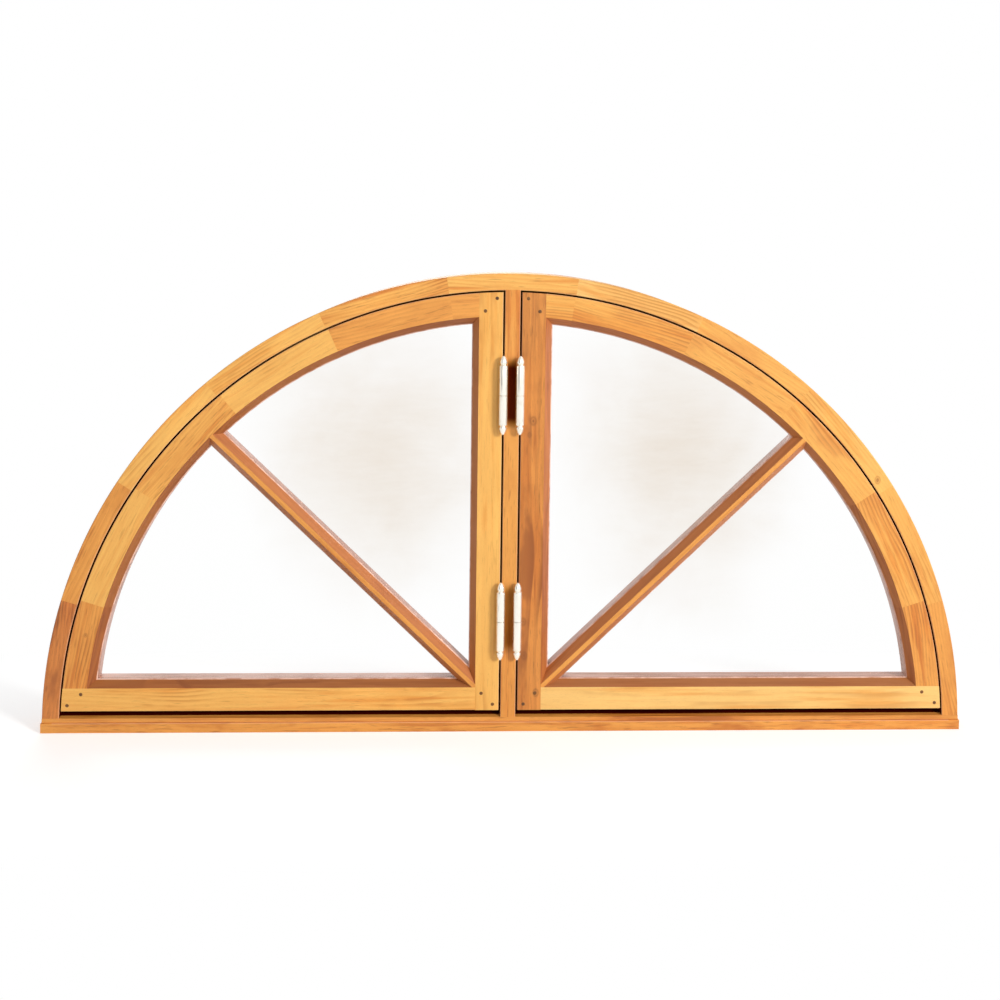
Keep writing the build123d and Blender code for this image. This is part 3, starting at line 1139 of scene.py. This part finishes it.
    def make_pins(self) -> None:
        """Small domed pin heads along the back of the beads, at equal steps."""
        r, proud = 1.1 * MM, 0.35 * MM
        turn = np.linspace(0.0, math.pi / 2, 5)
        crown = np.column_stack([r * np.sin(turn), proud * np.cos(turn)])
        profile = np.vstack([crown, [[r * 0.6, -1.0 * MM], [0.0, -1.0 * MM]]])
        surface = Surface()
        for pane in self.panes():
            line = self.mirrored(pane.loop(self.bead_width / 2))
            closed = np.vstack([line, line[:1]])
            run = np.concatenate([[0.0], np.cumsum(np.hypot(*np.diff(closed, axis=0).T))])
            count = int(run[-1] / self.pin_step)
            stops = (np.arange(count) + 0.5) * run[-1] / count
            for x, z in np.column_stack([np.interp(stops, run, closed[:, i]) for i in (0, 1)]):
                surface.add(*turned(profile, (x, self.bead_back, z), (0, 1, 0), (1, 0, 0), 12))
        nickel = BrightNickel().material(f"pins_{self.side.word}")
        surface.piece(self.node("bead_pins"), nickel)


@dataclass
class Hinge:
    """One lift-off hinge: turned barrels with acorn ends, leaves in the gap, and their screws.

    Attributes:
        side: Which sash it hangs.
        level: "upper" or "lower".
        barrel_half: Length of the barrel from the split to its end.
        split: Half the open joint between the barrels.
        pin_radius: Radius of the pin.
        pin_length: How far it stands into the upper half.
        clearance: Free space round it.
        leaf_thickness: Thickness of a leaf.
        leaf_recess: Leaf's edge behind the face of the timber.
        face: Depth of the face of the timber.
    """

    side: Side
    level: str
    barrel_half: float = 48.5 * MM
    split: float = 0.3 * MM
    pin_radius: float = 3.5 * MM
    pin_length: float = 30 * MM
    clearance: float = 0.3 * MM
    leaf_thickness: float = 1.5 * MM
    leaf_recess: float = 0.6 * MM
    face: float = -40 * MM

    def node(self, half: str) -> str:
        """Name of a half's CAD node."""
        return f"{self.side.word}_{self.level}_hinge_{half}_half"

    def profile(self, radius: float, end: float, upper: bool) -> np.ndarray:
        """Radius and distance from the split, from the pole in the core to the tip of the acorn.

        Args:
            radius: Radius of the barrel.
            end: Distance of the tip from the split.
            upper: Whether it is the half with the bore.

        Returns:
            The turned profile, with eased edges and a flowing neck and acorn.
        """
        ease = 0.35 * MM
        core = self.pin_radius + (self.clearance if upper else 0.0)
        core_end = self.pin_length + self.clearance if upper else -self.pin_length
        core_ease = 0.0 if upper else ease * 1.6
        shape = np.array([
            [radius, -0.8], [radius - 0.35 * MM, 0.35], [5.6 * MM, 1.35], [4.95 * MM, 2.2],
            [5.0 * MM, 3.1], [5.85 * MM, 3.9], [6.1 * MM, 5.2], [5.75 * MM, 8.0],
            [4.75 * MM, 11.2], [3.3 * MM, 14.2],
        ])
        tip = np.column_stack([shape[:, 0], self.barrel_half + shape[:, 1] * MM])
        tip = np.vstack([tip, [[2.1 * MM, end - 0.6 * MM], [0.9 * MM, end - 0.1 * MM]]])
        start = np.array([
            [0.0, core_end],
            [core - core_ease, core_end],
            [core, core_end + core_ease],
            [core, self.split],
            [radius - ease, self.split],
            [radius, self.split + ease],
        ])
        return np.vstack([start, flowing_line(tip, 6), [[0.0, end]]])

    def make(self, metal: bpy.types.Material) -> None:
        """Builds both halves in place of their CAD nodes.

        Args:
            metal: Their finish.
        """
        for half, upper in (("sash", True), ("frame", False)):
            low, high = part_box(self.node(half))
            radius = (high.x - low.x) / 2
            axis_x, axis_y = (high.x + low.x) / 2, low.y + radius
            way = 1.0 if upper else -1.0
            split_z = low.z + self.barrel_half if upper else high.z - self.barrel_half
            end = high.z - split_z if upper else split_z - low.z
            surface = Surface()
            surface.add(*turned(
                self.profile(radius, end, upper), (axis_x, axis_y, split_z), (0, 0, way), (1, 0, 0), 64
            ))
            side = self.side.value * way
            outer = axis_x + side * self.leaf_thickness
            near, far = split_z + way * self.split, split_z + way * self.barrel_half
            surface.add(*slab(
                (axis_x, outer), (self.face + self.leaf_recess, high.y),
                (split_z - self.barrel_half, split_z + self.barrel_half),
            ))
            surface.add(*slab(
                (axis_x, outer), (axis_y + radius / 2, self.face + self.leaf_recess + MM),
                (min(near, far), max(near, far)),
            ))
            self.add_screws(surface, outer, side, split_z, high.y)
            made = surface.piece(f"{self.node(half)}_turned", metal)
            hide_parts(self.node(half))

    def add_screws(self, surface: Surface, outer: float, side: float, middle: float, back: float) -> None:
        """Three countersunk screws through a leaf: a flat head, a cone under it and a shank.

        Args:
            surface: Where they are added.
            outer: X of the face they go in at.
            side: The way they point, as the sign of X.
            middle: Height of the split.
            back: Depth of the leaf's back edge.
        """
        head, shank, length = 3.4 * MM, 1.6 * MM, 18 * MM
        profile = np.array([
            [0.0, -0.9 * self.leaf_thickness],
            [head, -0.9 * self.leaf_thickness],
            [head, -0.7 * self.leaf_thickness],
            [shank, 1.2 * MM],
            [shank, length - 4 * MM],
            [0.0, length],
        ])
        depth = (self.face + back) / 2 + 2 * MM
        for row in (-0.7, 0.0, 0.7):
            centre = (outer, depth + 4 * MM * (-1.0 if row == 0.0 else 1.0), middle + row * self.barrel_half)
            surface.add(*turned(profile, centre, (side, 0, 0), (0, 1, 0), 20))


def slab(
    across: tuple[float, float], deep: tuple[float, float], tall: tuple[float, float],
    ease: float = 0.2 * MM,
) -> tuple[np.ndarray, list[np.ndarray]]:
    """Thin plate with eased edges, as rings of a rounded rectangle closed at both faces.

    Args:
        across: Low and high X.
        deep: Low and high Y.
        tall: Low and high Z.
        ease: Size of the eased edge.

    Returns:
        The points and the faces.
    """
    low_x, high_x = sorted(across)
    middle = np.array([sum(deep) / 2, sum(tall) / 2])
    half = np.array([abs(deep[1] - deep[0]) / 2, abs(tall[1] - tall[0]) / 2])
    quarter = np.linspace(0.0, math.pi / 2, 5)
    corner_signs = ((1, 1), (-1, 1), (-1, -1), (1, -1))
    round_off = 0.8 * MM
    rings = []
    for x, inset in ((low_x, ease), (low_x + ease, 0.0), (high_x - ease, 0.0), (high_x, ease)):
        ring = []
        for order, signs in enumerate(corner_signs):
            turn = quarter + order * math.pi / 2
            centre = middle + np.array(signs) * (half - round_off)
            ring.append(centre + (round_off - inset) * np.column_stack([np.cos(turn), np.sin(turn)]))
        flat = np.vstack(ring)
        rings.append(np.column_stack([np.full(len(flat), x), flat]))
    points = np.vstack(rings)
    size = len(rings[0])
    index = np.arange(len(points)).reshape(4, size)
    turn = np.roll(index, -1, axis=1)
    quads = np.stack([index[:-1], turn[:-1], turn[1:], index[1:]], axis=-1).reshape(-1, 4)
    return points, [quads, index[:1, ::-1], index[-1:]]


def paint(node: str, material: bpy.types.Material) -> None:
    """Puts a material in every slot of a CAD node.

    Args:
        node: The node's name.
        material: Its finish.
    """
    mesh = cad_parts[node].data
    if not mesh.materials:
        mesh.materials.append(material)
    for index in range(len(mesh.materials)):
        mesh.materials[index] = material
    log.info("%s dressed", node)


def tangent(node: str) -> float:
    """Degrees from X to the grain of an arch block, which runs along its chord."""
    low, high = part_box(node)
    return math.degrees(math.atan2(low.z + high.z, low.x + high.x)) + 90.0


@dataclass
class OuterFrame:
    """Sill board, bottom rail, mullion and the eleven blocks of the arch."""

    teak: OiledTeak

    def boards(self) -> list[Board]:
        """Lists the frame's boards. A block's entry is its tone, figure, mottle and heart.

        Returns:
            Every board of the frame.
        """
        blocks = {
            "left_foot": (Tone.RUSSET, 0.45, 0.75, 0.05),
            "left_haunch": (Tone.AMBER, 0.55, 0.40, 0.08),
            "left_shoulder": (Tone.GOLD, 0.25, 0.10, 0.14),
            "left_neck": (Tone.GOLD, 0.30, 0.15, 0.12),
            "left_crown": (Tone.HONEY, 0.75, 0.50, 0.03),
            "key": (Tone.GOLD, 0.80, 0.60, 0.04),
            "right_crown": (Tone.STRAW, 0.45, 0.45, 0.10),
            "right_neck": (Tone.HONEY, 0.50, 0.45, 0.07),
            "right_shoulder": (Tone.GOLD, 0.35, 0.15, 0.10),
            "right_haunch": (Tone.HONEY, 0.40, 0.25, 0.09),
            "right_foot": (Tone.AMBER, 0.45, 0.45, 0.06),
        }
        knots = {"right_shoulder": (Knot(0.612, 0.425, 0.009),)}
        # Painted shade on the mullion between each pair of hinge barrels, where the right barrel's shadow
        # falls, deeper at the upper pair.
        shade_between_hinges = tuple(
            Stain(0.0, height, 0.0070, 0.052, share) for height, share in ((0.566, 0.98), (0.191, 0.62))
        )
        straight = [
            Board("sill_board", Tone.AMBER, 0.0, 0.75, 0.90, 0.03, 11, bend=0.08),
            Board("frame_bottom_rail", Tone.AMBER, 0.0, 0.6, 0.55, 0.05, 12),
            Board("mullion", Tone.AMBER, 90.0, 0.5, 0.30, 0.07, 13, (), shade_between_hinges),
        ]
        return straight + [
            Board(f"frame_arch_{name}", tone, tangent(f"frame_arch_{name}"), figure, mottle, heart,
                  60 + order, knots.get(name, ()))
            for order, (name, (tone, figure, mottle, heart)) in enumerate(blocks.items())
        ]

    def dress(self) -> None:
        """Gives every board its finish."""
        for board in self.boards():
            paint(board.node, self.teak.material(board))


def sash_boards(side: Side) -> list[Board]:
    """The boards of one sash. An arch block's entry is its tone, figure, mottle and heart.

    Args:
        side: Which sash.

    Returns:
        Its stile, rail, arch blocks and glazing bar.
    """
    name = f"{side.word}_sash_"
    dark_moulding = Tone.STAINED
    # Painted shadow that the hinge barrels cast on the left sash's stile.
    hinge_shadows = tuple(Stain(-0.0215, height, 0.0035, 0.055, 0.22) for height in (0.563, 0.188))
    if side is Side.LEFT:
        straight = [
            Board(name + "stile", Tone.GOLD, 90.0, 0.25, 0.15, 0.14, 21, (), hinge_shadows),
            Board(name + "bottom_rail", Tone.GOLD, 0.0, 0.42, 0.08, 0.05, 22, bend=0.08, moulding=dark_moulding),
            Board(name + "glazing_bar", Tone.AMBER, 136.0, 0.35, 0.25, 0.08, 27),
        ]
        blocks = {
            "foot": (Tone.AMBER, 0.60, 0.45, 0.06),
            "haunch": (Tone.GOLD, 0.40, 0.30, 0.09),
            "shoulder": (Tone.HONEY, 0.70, 0.50, 0.05),
            "neck": (Tone.GOLD, 0.30, 0.20, 0.12),
            "crown": (Tone.AMBER, 0.50, 0.40, 0.07),
            "head": (Tone.AMBER, 0.40, 0.60, 0.07),
        }
        knots = {"foot": (Knot(-0.690, 0.163, 0.006),)}
    else:
        marks = (
            Knot(0.036, 0.520, 0.013), Knot(0.030, 0.497, 0.009), Knot(0.024, 0.185, 0.013),
            Knot(0.026, 0.128, 0.012), Knot(0.046, 0.065, 0.010),
        )
        straight = [
            Board(name + "stile", Tone.CHESTNUT, 90.0, 0.60, 0.40, 0.035, 31, marks, bend=0.07),
            Board(name + "bottom_rail", Tone.STRAW, 0.0, 0.16, 0.06, 0.12, 32, moulding=dark_moulding),
            Board(name + "glazing_bar", Tone.AMBER, 44.0, 0.35, 0.25, 0.08, 37),
        ]
        blocks = {
            "foot": (Tone.AMBER, 0.50, 0.35, 0.06),
            "haunch": (Tone.HONEY, 0.50, 0.35, 0.08),
            "shoulder": (Tone.HONEY, 0.40, 0.60, 0.09),
            "neck": (Tone.HONEY, 0.55, 0.50, 0.05),
            "crown": (Tone.HONEY, 0.45, 0.35, 0.08),
            "head": (Tone.HONEY, 0.30, 0.25, 0.10),
        }
        knots = {}
    return straight + [
        Board(f"{name}arch_{part}", tone, tangent(f"{name}arch_{part}"), figure, mottle, heart,
              80 + 10 * side.value + order, knots.get(part, ()),
              moulding=dark_moulding if side is Side.LEFT else Tone.MOULDING)
        for order, (part, (tone, figure, mottle, heart)) in enumerate(blocks.items())
    ]


@dataclass(frozen=True)
class Lamp:
    """A soft box: its name, where it hangs, its width and height, and its power in watts."""

    name: str
    place: tuple[float, float, float]
    size: tuple[float, float]
    power: float


@dataclass
class Studio:
    """Pale floor, soft lamps, white surround, and the camera at the picture's angle.

    The camera was set by matching the window's front face to the picture, which is a part cut from a
    larger one: its line of sight passes 200 pixels above and 44 pixels right of the middle of the 1000
    pixel frame.

    Attributes:
        arch_radius: Radius of the arch, in which the camera's place is given.
        face: Depth of the front of the window.
        camera_right: Camera's distance right of the middle.
        camera_away: Its distance in front of the face.
        camera_up: Its height.
        yaw: Its turn about Z in degrees.
        pitch: Its turn about X.
        roll: Its turn about its line of sight.
        lens: Its focal length in millimetres.
        sensor: Width of its sensor in millimetres.
        sight_shift: How far its line of sight is from the middle, in widths of the frame.
        floor_radius: Radius of the floor.
        floor_sides: Sides of the floor's rim.
        floor_colour: Colour of the floor.
        sky_light: Strength of the surround as light.
        glow_near: Glow of the floor beside the window.
        white_from: Distance at which the floor starts to turn white.
        white_to: Distance at which it is white.
        flag_from: Where the dark strip starts, in degrees from straight ahead.
        flag_to: Where it ends.
        flag_light: What it leaves of the light.
        aim_height: Height of the point that the lamps face.
        lamps: The lamps.
    """

    arch_radius: float = 0.762
    face: float = -40 * MM
    camera_right: float = -0.050
    camera_away: float = 2.566
    camera_up: float = 1.086
    yaw: float = -2.602
    pitch: float = -3.162
    roll: float = -0.816
    lens: float = 43.2
    sensor: float = 36.0
    sight_shift: tuple[float, float] = (-0.044, -0.2)
    floor_radius: float = 8.0
    floor_sides: int = 96
    floor_colour: Colour = (0.82, 0.82, 0.82, 1.0)
    sky_light: float = 0.34
    glow_near: float = 0.46
    white_from: float = 0.14
    white_to: float = 0.42
    flag_from: float = -56.0
    flag_to: float = -30.0
    flag_light: float = 0.0
    aim_height: float = 0.38
    lamps: tuple[Lamp, ...] = (
        Lamp("key", (5.0, -4.6, 2.9), (1.5, 1.5), 385.0),
        Lamp("front_fill", (-0.6, -3.2, 1.6), (2.6, 1.8), 9.0),
        Lamp("back_fill", (-0.8, 2.4, 1.9), (2.4, 1.6), 28.0),
    )

    def make(self) -> None:
        """Builds the stage."""
        self.make_floor()
        self.make_world()
        for lamp in self.lamps:
            self.make_lamp(lamp)
        self.make_camera()

    def make_floor(self) -> None:
        """Round pale floor."""
        turn = np.linspace(0.0, 2 * math.pi, self.floor_sides, endpoint=False)
        rim = self.floor_radius * np.column_stack([np.cos(turn), np.sin(turn), np.zeros(len(turn))])
        mesh = bpy.data.meshes.new("floor")
        mesh.from_pydata(rim.tolist(), [], [list(range(len(rim)))])
        mesh.materials.append(self.floor_finish())
        floor = bpy.data.objects.new("floor", mesh)
        bpy.context.scene.collection.objects.link(floor)

    def floor_finish(self) -> bpy.types.Material:
        """Floor that takes the shadow, and is white to the camera and in glass and metal further off.

        Returns:
            The material.
        """
        graph = Graph("floor_white")
        seen = self.seen(graph)
        pale = graph.node("ShaderNodeBsdfDiffuse")
        graph.put(pale.inputs["Color"], self.floor_colour)
        near = graph.node("ShaderNodeAddShader")
        graph.put(near.inputs[0], pale.outputs[0])
        graph.put(near.inputs[1], self.glow(graph, graph.times(seen, self.glow_near)))
        away = graph.length(graph.place(graph.whole(), shift=(0.0, 0.06, 0.0), scale=(0.2, 1.0, 1.0)))
        far = graph.times(seen, graph.remap(away, self.white_from, self.white_to))
        graph.put(graph.output.inputs["Surface"], graph.mix(far, near.outputs[0], self.glow(graph, 1.0)))
        return graph.owner

    def glow(self, graph: Graph, strength: object) -> bpy.types.NodeSocket:
        """Makes a white glow.

        Args:
            graph: The nodes.
            strength: How bright it is.

        Returns:
            The shader.
        """
        made = graph.node("ShaderNodeEmission")
        graph.put(made.inputs["Strength"], strength)
        return made.outputs[0]

    def seen(self, graph: Graph) -> bpy.types.NodeSocket:
        """One for what the camera, glass and metal see, and zero for the light that falls on things.

        Args:
            graph: The nodes.

        Returns:
            The value.
        """
        ray = graph.node("ShaderNodeLightPath").outputs
        return graph.most(ray["Is Camera Ray"], ray["Is Glossy Ray"], ray["Is Transmission Ray"])

    def make_world(self) -> None:
        """Soft even light from all round, which the camera, glass and metal see as white."""
        graph = Graph("surround", world=True)
        strength = graph.remap(self.seen(graph), 0.0, 1.0, self.sky_light, 1.0)
        sky = graph.node("ShaderNodeBackground")
        graph.put(sky.inputs["Color"], (1.0, 1.0, 1.0, 1.0))
        graph.put(sky.inputs["Strength"], graph.times(strength, self.flag(graph)))
        graph.put(graph.output.inputs["Surface"], sky.outputs[0])
        bpy.context.scene.world = graph.owner

    def flag(self, graph: Graph) -> bpy.types.NodeSocket:
        """A dark upright strip left of the camera, which only shows as a line in the bright metal.

        Args:
            graph: The world's nodes.

        Returns:
            What the surround keeps of its light.
        """
        across, deep, _ = graph.parts(graph.node("ShaderNodeTexCoord").outputs["Generated"])
        turn = graph.math("ARCTAN2", across, graph.times(deep, -1.0))
        middle = math.radians((self.flag_from + self.flag_to) / 2)
        half = math.radians((self.flag_to - self.flag_from) / 2)
        glossy = graph.node("ShaderNodeLightPath").outputs["Is Glossy Ray"]
        inside = graph.times(graph.math("COMPARE", turn, middle, half), glossy)
        return graph.remap(inside, 0.0, 1.0, 1.0, self.flag_light)

    def make_lamp(self, lamp: Lamp) -> None:
        """Hangs a soft box, aimed at the middle of the window.

        Args:
            lamp: The lamp.
        """
        box = bpy.data.lights.new(lamp.name, "AREA")
        box.shape = "RECTANGLE"
        box.size, box.size_y = lamp.size
        box.energy = lamp.power
        made = bpy.data.objects.new(lamp.name, box)
        made.location = lamp.place
        aim = Vector((0.0, 0.0, self.aim_height)) - Vector(lamp.place)
        made.rotation_euler = aim.to_track_quat("-Z", "Y").to_euler()
        bpy.context.scene.collection.objects.link(made)

    def make_camera(self) -> None:
        """Camera turned by yaw about Z, pitch about X and roll about its line of sight."""
        lens = bpy.data.cameras.new("camera")
        lens.lens = self.lens
        lens.sensor_width = self.sensor
        lens.shift_x, lens.shift_y = self.sight_shift
        lens.clip_start = 0.05
        lens.clip_end = 60.0
        turn = (
            Matrix.Rotation(math.radians(self.yaw), 3, "Z")
            @ Matrix.Rotation(math.radians(self.pitch), 3, "X")
            @ Matrix.Rotation(math.radians(self.roll), 3, "Y")
            @ Matrix.Rotation(math.pi / 2, 3, "X")
        )
        camera = bpy.data.objects.new("camera", lens)
        camera.matrix_world = Matrix.Translation((
            self.camera_right * self.arch_radius,
            self.face - self.camera_away * self.arch_radius,
            self.camera_up * self.arch_radius,
        )) @ turn.to_4x4()
        bpy.context.scene.collection.objects.link(camera)
        bpy.context.scene.camera = camera
        bpy.context.scene.view_settings.view_transform = "Standard"


def main() -> None:
    """Dresses the window and sets the stage, in order."""
    logging.basicConfig(level=logging.INFO, format="%(name)s: %(message)s")
    teak = OiledTeak()
    OuterFrame(teak).dress()
    metal = BrightNickel().material("bright_nickel")
    for side in Side:
        beads = Board("beads", Tone.BARE, 0.0, 0.4, 0.3, seed=50 + 5 * side.value)
        Sash(side).dress(sash_boards(side), teak, beads)
        for level in ("lower", "upper"):
            Hinge(side, level).make(metal)
    Studio().make()


if __name__ == "__main__":
    main()
